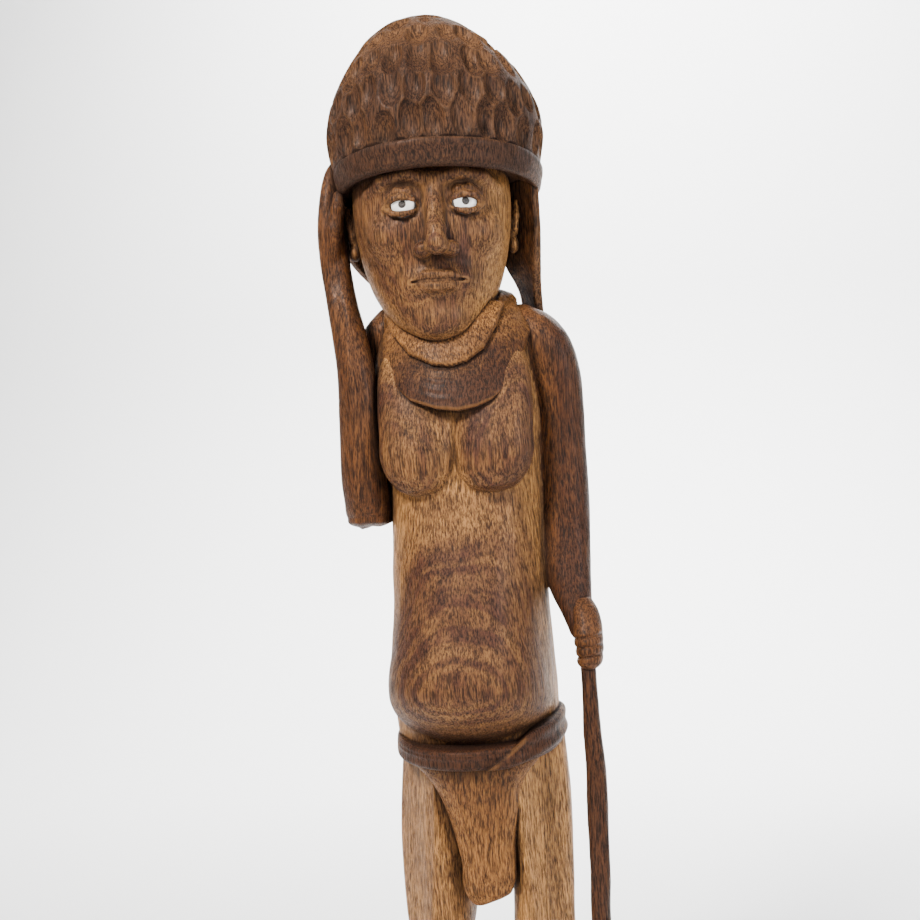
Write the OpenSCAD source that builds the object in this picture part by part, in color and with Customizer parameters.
// Standing carved ancestor figure: a cap, a carrying strap with a bag on the
// back, a belt with an apron, one hand raised to the strap, the other on a staff.
// Millimetres. +Z is up, the figure faces -Y, and the origin is at the centre
// of the plinth's underside. Heights in the tables are above the soles.
// Right and left are the figure's own, so its right side is at -X.

/* [Plinth] */
// Width of the plinth, side to side
plinth_w = 244; // [240:1:280]
// Depth of the plinth, front to back
plinth_d = 208; // [204:1:240]
// Height of the plinth under the soles
plinth_h = 45; // [35:1:60]

/* [Body] */
// Half width of the torso at the waist
waist = 61.5; // [60:0.5:64]
// How far the belly's front stands out from the body's axis
belly_out = 91; // [84:1:94]
// Distance from the centre plane to the middle of each knee
stance = 41; // [40:0.5:43]

/* [Head] */
// How far the head sits to the figure's right
head_shift = 15; // [12:0.5:16]
// Turn of the head towards the figure's left, in degrees
head_turn = 12; // [0:1:14]
// Radius of the cap
cap_r = 87.5; // [85:0.5:89]
// Number of gouge cuts in one row round the cap
cap_flutes = 26; // [20:1:32]
// Depth of the gouge cuts
flute_depth = 3; // [1:0.5:4]

/* [Inlays] */
// Diameter of an eye's shell ring
shell_d = 18; // [16:0.5:19]
// Diameter of the hole in the shell, filled with pitch
pupil_d = 6; // [4:0.5:8]

/* [Staff] */
// Diameter of the staff at its grip
staff_d = 12.5; // [11:0.5:13.5]
// Length of each tenon, in the fist and in the plinth
tenon = 14; // [8:1:20]

/* [Hidden] */

wood = [0.45, 0.29, 0.17];
dark_wood = [0.34, 0.21, 0.13];
pale_wood = [0.56, 0.38, 0.22];
shell_white = [0.90, 0.86, 0.80];
pitch_black = [0.09, 0.07, 0.06];

right = -1;
left = 1;
trunk_n = 28;     // points round the torso, the head and the bag
limb_n = 20;      // points round a limb
foot_n = 14;      // points round a ball of the foot
waist_cut = 343;  // height where the torso ends and the legs begin, under the belt

// ---- shapes ----

// A superellipse ring from a station
// [height, centre x, centre y, half width, front depth, back depth].
function signed_pow(v, e) = sign(v) * pow(abs(v), e);
function ring(s, count, e) = [
  for (i = [0:count - 1])
    let (a = 360 * i / count, c = cos(a), d = sin(a))
      [s[1] + s[3] * signed_pow(c, 2 / e),
       s[2] + (d < 0 ? s[4] : s[5]) * signed_pow(d, 2 / e),
       s[0]]
];

// A solid through a list of stations, each slice the hull of two rings.
module loft(stations, count = limb_n, e = 2) {
  corners = [for (k = [0:2 * count - 1]) k];
  for (i = [0:len(stations) - 2])
    hull() polyhedron(
      points = concat(ring(stations[i], count, e), ring(stations[i + 1], count, e)),
      faces = [corners]
    );
}

// A limb through a list of balls [x, y, height, radius].
module limb(balls) {
  for (i = [0:len(balls) - 2])
    hull() for (b = [balls[i], balls[i + 1]])
      translate([b[0], b[1], b[2]]) sphere(r = b[3], $fn = 18);
}

module ball(centre, radii, sides = 18) {
  translate(centre) scale(radii) sphere(r = 1, $fn = sides);
}

// One side's shape, drawn on the figure's left and mirrored for its right.
module on_side(side) { mirror([side == right ? 1 : 0, 0, 0]) children(); }

// Everything but the plinth stands on it.
module standing() { translate([0, 0, plinth_h]) children(); }

// The head's own frame, with the face towards -Y.
module head_frame() { translate([-head_shift, 0, 0]) rotate([0, 0, head_turn]) children(); }

// The cap and its band sit higher in front than behind.
module leaning() {
  multmatrix([[1, 0, 0, 0], [0, 1, 0, 0], [0, -0.1, 1, 0], [0, 0, 0, 1]]) children();
}

// ---- torso ----

torso_stations = [
  [waist_cut, -1, 0, waist + 2, 54, 54], [385, -3, 0, waist + 4, 58, 51],
  [425, -2.5, 0, waist + 1.3, 56, 48], [465, -1.5, 0, waist - 0.5, 53, 47], [515, 0, 0, waist - 1.2, 51, 48],
  [565, 0, 0, waist + 0.7, 50, 54], [615, 0, 2, waist + 2, 49, 57], [645, 0, 4, waist + 2, 46, 55],
  [667, 0, 6, waist - 4, 41, 48], [685, -1, 7, 46, 33, 38], [695, -2, 8, 32, 25, 28]
];
belly_y = -20;
belly_depth = belly_out + belly_y;
belly_stations = [
  [348, 0, belly_y, 30, belly_depth * 0.44, 20], [355, 0, belly_y, 44, belly_depth * 0.61, 20],
  [364, -1, belly_y, 56, belly_depth * 0.78, 20], [376, -2.5, belly_y, 63, belly_depth * 0.92, 20],
  [390, -3.5, belly_y, 65, belly_depth, 20], [406, -3.5, belly_y, 64.5, belly_depth * 0.975, 20],
  [430, -2.5, belly_y, 61.5, belly_depth * 0.90, 20], [458, -1, belly_y, 57, belly_depth * 0.78, 20],
  [490, 0, belly_y, 54, belly_depth * 0.65, 20], [525, 0, belly_y, 49.5, belly_depth * 0.52, 20],
  [560, 0, belly_y, 43, belly_depth * 0.40, 20]
];
pec_stations = [
  [539, 26, -41, 9, 11, 8], [543, 26.5, -41, 20, 20, 9], [551, 27, -40, 27, 24.5, 10],
  [566, 28, -39, 31, 27, 12], [590, 28.5, -37, 32, 25.5, 14], [615, 29, -35, 32, 20.5, 14],
  [640, 28.5, -31, 30, 14, 12], [658, 27, -27, 23, 8, 10]
];
module torso_shape() {
  loft(torso_stations, trunk_n, 2.5);
  loft(belly_stations, trunk_n, 2.2);
  for (side = [right, left]) on_side(side) loft(pec_stations, limb_n, 2.4);
}
module torso() {
  navel = [13, -belly_out - 2, 384];
  color(wood) standing() difference() {
    torso_shape();
    ball(navel, [2.5, 6, 4]);
  }
}

// ---- head and ears ----

head_stations = [
  [661, 0, -42, 17, 16, 14], [666, 0, -38, 28.5, 27, 30], [678, 0, -20, 40, 48, 40],
  [700, 0, 0, 51, 70, 44], [720, 0, 0, 57.5, 71, 54], [745, 0, 0, 61.5, 70, 60],
  [770, 0, 0, 63, 69, 62], [800, 0, 0, 60, 67, 62], [815, 0, 0, 55, 64, 60]
];
neck_stations = [
  [645, 6, 6, 32, 26, 32], [675, 5, 5, 35, 32, 36], [705, 3, 4, 36, 36, 38], [730, 2, 2, 36, 30, 38]
];
module face_features() {
  for (side = [right, left]) on_side(side) {
    hull() {
      ball([11, -63, 777], [8, 9, 5]);
      ball([37, -50, 776], [8, 9, 5]);
    }
    ball([10, -72, 722], [7, 9, 6.5]);
    ball([31, -48, 736], [18, 18, 15]);
  }
  hull() {
    ball([0, -65, 770], [6, 8, 7]);
    ball([0, -81, 725], [9, 9, 7]);
  }
  ball([0, -66, 703], [20, 10, 4.5]);
  ball([0, -65, 695.5], [18, 10, 4.5]);
  ball([0, -56, 671], [16, 13, 10]);
}
module head_shape() {
  head_frame() {
    loft(head_stations, trunk_n, 2.2);
    loft(neck_stations, limb_n, 2);
    face_features();
  }
}
module head() {
  color(wood) standing() difference() {
    head_shape();
    torso_shape();
    leaning() cap_shape();
    for (side = [right, left]) eye_place(side) cylinder(d = shell_d + 2, h = 12, $fn = 32);
  }
}

module ear_shape(side) {
  head_frame() on_side(side) hull() {
    ball([63, 6, 762], [6, 13, 14]);
    ball([61, 2, 738], [5, 9, 12]);
  }
}
module ear(side) {
  color(wood) standing() difference() {
    ear_shape(side);
    head_shape();
    strap_shape(side);
    leaning() band_shape();
  }
}

// ---- eye inlays ----

eye_x = 24;      // the face is five eyes wide, one of them between the eyes
eye_h = 760;     // halfway up the skull
eye_y = -66;
inlay_h = 7;
pitch_bed = 3;

// An eye's own frame: +Z points out of the face, the pocket's floor is at 0.
module eye_place(side) {
  head_frame() translate([side * eye_x, eye_y, eye_h]) rotate([90, 0, side * 16])
    translate([0, 0, -inlay_h]) children();
}
module shell_ring() {
  translate([0, 0, pitch_bed]) difference() {
    cylinder(d = shell_d, h = inlay_h - pitch_bed, $fn = 48);
    translate([0, 0, -1]) cylinder(d = pupil_d, h = inlay_h, $fn = 32);
  }
}
module eye_shell(side) {
  color(shell_white) standing() eye_place(side) shell_ring();
}
module eye_pitch(side) {
  color(pitch_black) standing() eye_place(side) {
    cylinder(d = shell_d + 2, h = pitch_bed, $fn = 48);
    cylinder(d = pupil_d, h = inlay_h, $fn = 32);
  }
}

// ---- collar and neck roll ----

// The roll of cloth round the neck: a closed band, lowest in front.
roll_steps = 20;
function roll_at(a) = [
  -5 + 46 * cos(a),
  sin(a) * (sin(a) < 0 ? 50 : 38),
  681 + sin(a) * (sin(a) < 0 ? 27 : 12)
];
module roll_shape() {
  for (i = [0:roll_steps - 1])
    hull() for (k = [i, i + 1])
      translate(roll_at(360 * k / roll_steps)) scale([1, 1, 1.3]) sphere(r = 13, $fn = 14);
}
module neck_roll() {
  color(pale_wood) standing() difference() {
    roll_shape();
    torso_shape();
    head_shape();
  }
}

// The crescent over the chest and shoulders, a step proud of the body.
collar_stations = [
  [590, 0, 2, waist + 4, 68.5, 40], [604, 0, 2, waist + 5.2, 68, 40], [622, 0, 2, waist + 6, 63.5, 40],
  [645, 0, 4, waist + 6.4, 57, 40], [667, 0, 6, waist + 1, 50, 40], [685, -2, 8, 52, 42, 34],
  [698, -3, 8, 38, 32, 26]
];
// Its outline as seen from the front, the lower edge first.
collar_outline = [
  [-75, 646], [-58, 631], [-42, 623], [-30, 612], [-10, 604.5], [7, 602], [21, 604], [33, 609],
  [44, 619], [52, 635], [58, 655], [64, 676], [75, 705], [-75, 705]
];
module collar_shape() {
  intersection() {
    loft(collar_stations, trunk_n, 2.4);
    difference() {
      translate([0, 14, 0]) rotate([90, 0, 0]) linear_extrude(height = 100) polygon(collar_outline);
      translate([-7, 15, 692]) rotate([90, 0, 0]) cylinder(r = 45, h = 102, $fn = 64);
    }
  }
}
module collar() {
  color(dark_wood) standing() difference() {
    collar_shape();
    torso_shape();
    roll_shape();
    left_upper_arm_shape();
    right_upper_arm_shape();
    for (side = [right, left]) strap_shape(side);
  }
}

// ---- cap, band, straps and bag ----

// Rows of the cap: [height, share of the radius, centre x]. Its crown leans to the figure's right.
cap_rows = [
  [795.5, 0.945, -9], [811, 0.985, -9], [826, 1, -9], [842, 0.96, -9], [856, 0.89, -9.5], [870, 0.80, -10],
  [884, 0.70, -11], [897, 0.57, -13.5], [907, 0.43, -15], [914.5, 0.28, -15]
];
cap_top = [-12, 0, 920];

// The gouge cuts are staggered from row to row, which leaves ridges between them.
module cap_shape() {
  columns = 2 * cap_flutes;
  rows = len(cap_rows);
  function rim(row, c) = cap_r * cap_rows[row][1]
    - (row > 0 && row < rows - 1 && (c + row) % 2 == 0 ? flute_depth : 0);
  side_points = [
    for (row = [0:rows - 1]) for (c = [0:columns - 1])
      let (a = 360 * c / columns)
        [cap_rows[row][2] + rim(row, c) * cos(a), rim(row, c) * sin(a), cap_rows[row][0]]
  ];
  bottom = rows * columns;
  top = bottom + 1;
  crown = (rows - 1) * columns;
  polyhedron(
    points = concat(side_points, [
      [cap_rows[0][2], 0, cap_rows[0][0]],
      cap_top
    ]),
    faces = concat(
      [for (row = [0:rows - 2]) for (c = [0:columns - 1])
        let (a = row * columns + c, b = row * columns + (c + 1) % columns)
          for (f = [[a, b + columns, b], [a, a + columns, b + columns]]) f],
      [for (c = [0:columns - 1]) [bottom, c, (c + 1) % columns]],
      [for (c = [0:columns - 1]) [top, crown + (c + 1) % columns, crown + c]]
    )
  );
}
module cap() {
  color(dark_wood) standing() leaning() cap_shape();
}

band_stations = [
  [777, -8, 0, 77, 81, 78], [780, -8, 0, 80, 84, 81], [792, -8, 0, 82, 86, 82],
  [795.5, -8, 0, 80, 85, 80]
];
module band_shape() { loft(band_stations, 40, 2); }
module head_band() {
  color(wood) standing() difference() {
    leaning() band_shape();
    head_shape();
    right_hand_shape();
  }
}

// A strap runs from the band behind the ear and over the shoulder to the bag.
// Each row is [x, y, height, half thickness, half width, turn].
left_strap_path = [
  [57, 10, 784, 4, 14.5, 50], [55.5, 12, 757, 4, 15.5, 50], [54, 16, 735, 4, 15.5, 46],
  [53, 18, 719, 4, 19, 46],
  [57, 28, 698, 4, 15.5, 30], [55, 44, 668, 4, 14.5, 36], [43, 58, 640, 4, 13, 50]
];
right_strap_path = [
  [-82, 12, 784, 4, 15, -42], [-79, 15, 757, 4, 17, -46], [-74, 20, 736, 4, 19.5, -48],
  [-65, 34, 717, 4, 16, -48], [-50, 49, 700, 4, 14, -46], [-44, 56, 668, 4, 13, -46],
  [-42, 59, 640, 4, 13, -50]
];
module strap_shape(side) {
  path = side == left ? left_strap_path : right_strap_path;
  for (i = [0:len(path) - 2])
    hull() for (p = [path[i], path[i + 1]])
      translate([p[0], p[1], p[2]]) rotate([0, 0, p[5]]) scale([p[3], p[4], 3]) sphere(r = 1, $fn = 16);
}
module strap(side) {
  color(dark_wood) standing() difference() {
    strap_shape(side);
    torso_shape();
    head_shape();
    leaning() band_shape();
  }
}

bag_stations = [
  [503, 0, 50, 14, 6, 16], [512, 0, 50, 32, 10, 30], [528, 0, 50, 46, 12, 40], [555, 0, 50, 55, 14, 45],
  [590, 0, 50, 57, 14, 44], [622, 0, 50, 52, 14, 36], [645, 0, 50, 42, 12, 26], [660, 0, 50, 26, 8, 14]
];
module back_bag() {
  color(dark_wood) standing() difference() {
    loft(bag_stations, trunk_n, 2.2);
    torso_shape();
    for (side = [right, left]) strap_shape(side);
  }
}

// ---- right arm, raised to the strap ----

module right_upper_arm_shape() {
  limb([[-58, 8, 671, 20], [-68, 8, 640, 19], [-72, 8, 595, 16], [-74, 5, 555, 15], [-76, 0, 540, 15]]);
}
module right_forearm_shape() {
  ball([-76.5, -14, 535], [18, 30, 19]);
  limb([[-76.5, -26, 538, 17], [-77.5, -33, 565, 17], [-77.5, -34, 605, 16.5], [-79, -33, 645, 15.3],
        [-86, -27, 690, 12.5], [-92, -20, 720, 11.5]]);
}
module right_hand_shape() {
  palm = [[-92, -19, 720, 11.5, 13, 12], [-95, -12, 760, 10.5, 20, 18], [-93, -4, 790, 8, 18, 16]];
  for (i = [0, 1])
    hull() for (p = [palm[i], palm[i + 1]]) ball([p[0], p[1], p[2]], [p[3], p[4], p[5]]);
  limb([[-90, -26, 738, 6], [-86, -30, 760, 5.5], [-84, -29, 776, 5]]);
  for (i = [0:3])
    limb([[-96, -17 + 8.5 * i, 785, 4.6], [-93, -16 + 8.5 * i, 805, 4.2]]);
}
module right_upper_arm() {
  color(dark_wood) standing() difference() {
    right_upper_arm_shape();
    torso_shape();
    right_forearm_shape();
    roll_shape();
    strap_shape(right);
  }
}
module right_forearm() {
  color(wood) standing() difference() {
    right_forearm_shape();
    torso_shape();
    right_hand_shape();
    strap_shape(right);
  }
}
module right_hand() {
  color(wood) standing() difference() {
    right_hand_shape();
    strap_shape(right);
    head_shape();
    leaning() cap_shape();
  }
}

// ---- left arm, hanging, with the hand on the staff ----

module left_upper_arm_shape() {
  limb([[66, 4, 656, 22], [74, 4, 635, 20.3], [77.4, 4, 600, 19], [77.6, 2, 560, 18.5],
        [77.6, -1, 508, 18.5]]);
}
module left_forearm_shape() {
  limb([[77.6, -1, 508, 18.5], [77.5, -6, 488, 17.8], [79, -13, 465, 16], [82, -20, 448, 13.5],
        [86, -28, 433, 11]]);
}
module left_hand_shape() {
  palm = [[88, -26, 446, 9, 10, 8], [91.5, -34, 424, 11.5, 15, 14], [92.5, -35, 411, 9.5, 12, 8]];
  for (i = [0, 1])
    hull() for (p = [palm[i], palm[i + 1]]) ball([p[0], p[1], p[2]], [p[3], p[4], p[5]]);
  for (i = [0:3]) ball([92, -45 + 0.6 * i, 433 - 7.5 * i], [9.5, 7, 4.4]);
}
module left_upper_arm() {
  color(dark_wood) standing() difference() {
    left_upper_arm_shape();
    torso_shape();
    left_forearm_shape();
    roll_shape();
    strap_shape(left);
  }
}
module left_forearm() {
  color(dark_wood) standing() difference() {
    left_forearm_shape();
    torso_shape();
    left_hand_shape();
  }
}
module left_hand() {
  color(pale_wood) standing() difference() {
    left_hand_shape();
    staff_shape();
  }
}

// ---- staff ----

grip_h = 405;
staff_r = staff_d / 2;
staff_places = [
  [91, -35, grip_h + tenon, staff_r], [91, -35, grip_h - 25, staff_r], [92, -38, 331, staff_r + 1.3],
  [91.8, -40, 287, staff_r + 1.6], [91.4, -41, 250, staff_r + 1.3], [89.8, -42, 213, staff_r + 1],
  [91, -44, 135, staff_r + 1.3], [92, -46, 65, staff_r + 1], [92, -47, 10, staff_r + 1.6],
  [92, -47, -tenon, staff_r + 1.6]
];
module staff_shape() {
  for (i = [0:len(staff_places) - 2])
    hull() for (b = [staff_places[i], staff_places[i + 1]])
      translate([b[0], b[1], b[2]]) cylinder(r = b[3], h = 0.5, $fn = 14);
}
module staff() { color(dark_wood) standing() staff_shape(); }

// ---- belt and cloths ----

belt_stations = [
  [334.5, -1, 0, waist + 2.3, 67, 57], [336.5, -1, 0, waist + 4, 69.5, 59],
  [343, -1, 0, waist + 4.7, 72, 60.5],
  [349.5, -1, 0, waist + 4.3, 73.5, 60], [351.5, -1, 0, waist + 2.9, 72, 58.5]
];
module belt_shape() {
  rises_left = 0.06;
  dips_in_front = 0.085;
  lift = 1.5;
  multmatrix([[1, 0, 0, 0], [0, 1, 0, 0], [rises_left, dips_in_front, 1, lift], [0, 0, 0, 1]])
    loft(belt_stations, trunk_n, 2.15);
  // the tucked end, wrapped over the hip
  limb([[34, -62, 343, 6], [50, -49, 348, 7], [60, -30, 354, 7], [64, -6, 357, 6]]);
}
module belt() {
  color(dark_wood) standing() difference() {
    belt_shape();
    torso_shape();
    for (side = [right, left]) leg_shape(side);
  }
}

flap_stations = [
  [222, -3, -42, 3, 4, 4], [226, 1, -42, 11, 8, 11], [231, 4, -42, 17, 10, 17], [238, 5, -41, 20, 12, 22],
  [253, 6, -40, 21, 15, 27], [267, 5, -39, 22.5, 16.5, 29], [294, 3.5, -37, 28.5, 19.5, 30],
  [317, 0, -34, 36.5, 24, 30], [336, -1, -32, 52, 28, 28], [waist_cut, -1, -32, 55, 30, 28]
];
module flap_shape() { loft(flap_stations, limb_n, 2.2); }
module loincloth_flap() {
  color(wood) standing() difference() {
    flap_shape();
    belt_shape();
    for (side = [right, left]) leg_shape(side);
  }
}

apron_stations = [
  [240, 0, 38, 18, 16, 8], [250, 0, 38, 24, 20, 16], [275, 0, 38, 30, 24, 24], [305, 0, 38, 36, 24, 27],
  [330, 0, 38, 42, 24, 25], [waist_cut, 0, 38, 44, 24, 22]
];
module rear_apron() {
  color(dark_wood) standing() difference() {
    loft(apron_stations, limb_n, 2.4);
    belt_shape();
    flap_shape();
    for (side = [right, left]) leg_shape(side);
  }
}

// ---- legs, feet and plinth ----

// The right leg is the stouter one and stands a little further out.
right_step = 2.5;
shin_stations = [
  [18, stance, 1, 15, 18, 22], [28, stance, 1, 14.5, 17, 22], [45, stance, 1, 15, 17, 22],
  [70, stance, -1, 18, 20, 28], [95, stance, -3, 21, 23, 33], [120, stance, -6, 22, 27, 30],
  [140, stance, -10, 23, 30, 27], [155, stance, -10, 24, 32, 28], [175, stance, -8, 24, 33, 33]
];
left_thigh_stations = [
  [198, stance + 1, -6, 23.5, 36, 36], [225, stance + 2, -4, 23.6, 38.5, 40],
  [255, stance + 2.3, -2, 23.6, 41.5, 46], [277, stance + 2.3, -1, 23.8, 44, 52],
  [295, stance + 1, 0, 25, 45, 56], [320, stance - 3, 0, 28, 46, 55], [waist_cut, stance - 7, 0, 31, 44, 51]
];
right_thigh_stations = [
  [198, stance - 1.5, -6, 27.5, 36, 36], [225, stance - 1.8, -4, 30.8, 38.5, 40],
  [255, stance - 1.2, -2, 31.6, 41.5, 46], [277, stance - 2, -1, 32.2, 44, 52],
  [295, stance - 4.5, 0, 33.2, 45, 56], [320, stance - 8.5, 0, 34, 46, 55],
  [waist_cut, stance - 11.5, 0, 33.5, 44, 51]
];
module stepped(side) { translate([side == right ? -right_step : 0, 0, 0]) on_side(side) children(); }

// Each leg stays on its own side of the centre plane.
module leg_shape(side) {
  stepped(side) intersection() {
    loft(concat(shin_stations, side == left ? left_thigh_stations : right_thigh_stations), limb_n, 2.45);
    translate([0, -100, 0]) cube([200, 200, waist_cut]);
  }
}
module leg(side) {
  color(wood) standing() leg_shape(side);
}

// The sole is flat, the toes fan out from the big toe on the inside.
module foot_shape(side) {
  stepped(side) translate([stance, 0, 0]) rotate([0, 0, 8]) intersection() {
    union() {
      hull() {
        ball([0, 10, 14], [16, 24, 16], foot_n);
        ball([0, 2, 30], [16.5, 22, 12], foot_n);
      }
      hull() {
        ball([0, 0, 26], [16, 20, 14], foot_n);
        ball([1, -44, 10], [19, 20, 12], foot_n);
      }
      hull() {
        ball([1, -44, 10], [19, 20, 12], foot_n);
        ball([2, -64, 6], [20, 12, 9], foot_n);
      }
      for (i = [0:4]) hull() {
        ball([-13 + 7.6 * i, -66 + 2 * i, 6], [5.2 - 0.4 * i, 8, 7 - 0.4 * i], foot_n);
        ball([-14 + 8 * i, -82 + 3.5 * i, 5], [5.6 - 0.5 * i, 6, 6.2 - 0.5 * i], foot_n);
      }
    }
    translate([-100, -150, 0]) cube([200, 300, 100]);
  }
}
module foot(side) {
  color(wood) standing() difference() {
    foot_shape(side);
    leg_shape(side);
  }
}

// The round of log left under the feet, with a socket for the staff.
plinth_stations = [
  [0, 0, 0, plinth_w / 2 - 3, plinth_d / 2 - 3, plinth_d / 2 - 3],
  [4, 0, 0, plinth_w / 2, plinth_d / 2, plinth_d / 2],
  [plinth_h - 7, 0, 0, plinth_w / 2 - 1, plinth_d / 2 - 1, plinth_d / 2 - 1],
  [plinth_h - 2, 0, 0, plinth_w / 2 - 4, plinth_d / 2 - 4, plinth_d / 2 - 4],
  [plinth_h, 0, 0, plinth_w / 2 - 9, plinth_d / 2 - 9, plinth_d / 2 - 9]
];
module plinth() {
  color(dark_wood) difference() {
    loft(plinth_stations, 48, 2.2);
    standing() staff_shape();
  }
}

plinth();
leg(right);  // right_leg
leg(left);  // left_leg
foot(right);  // right_foot
foot(left);  // left_foot
torso();
belt();
loincloth_flap();
rear_apron();
collar();
neck_roll();
head();
ear(right);  // right_ear
ear(left);  // left_ear
cap();
head_band();
strap(right);  // right_strap
strap(left);  // left_strap
back_bag();
right_upper_arm();
right_forearm();
right_hand();
left_upper_arm();
left_forearm();
left_hand();
staff();
eye_shell(right);  // right_eye_shell
eye_shell(left);  // left_eye_shell
eye_pitch(right);  // right_eye_pitch
eye_pitch(left);  // left_eye_pitch
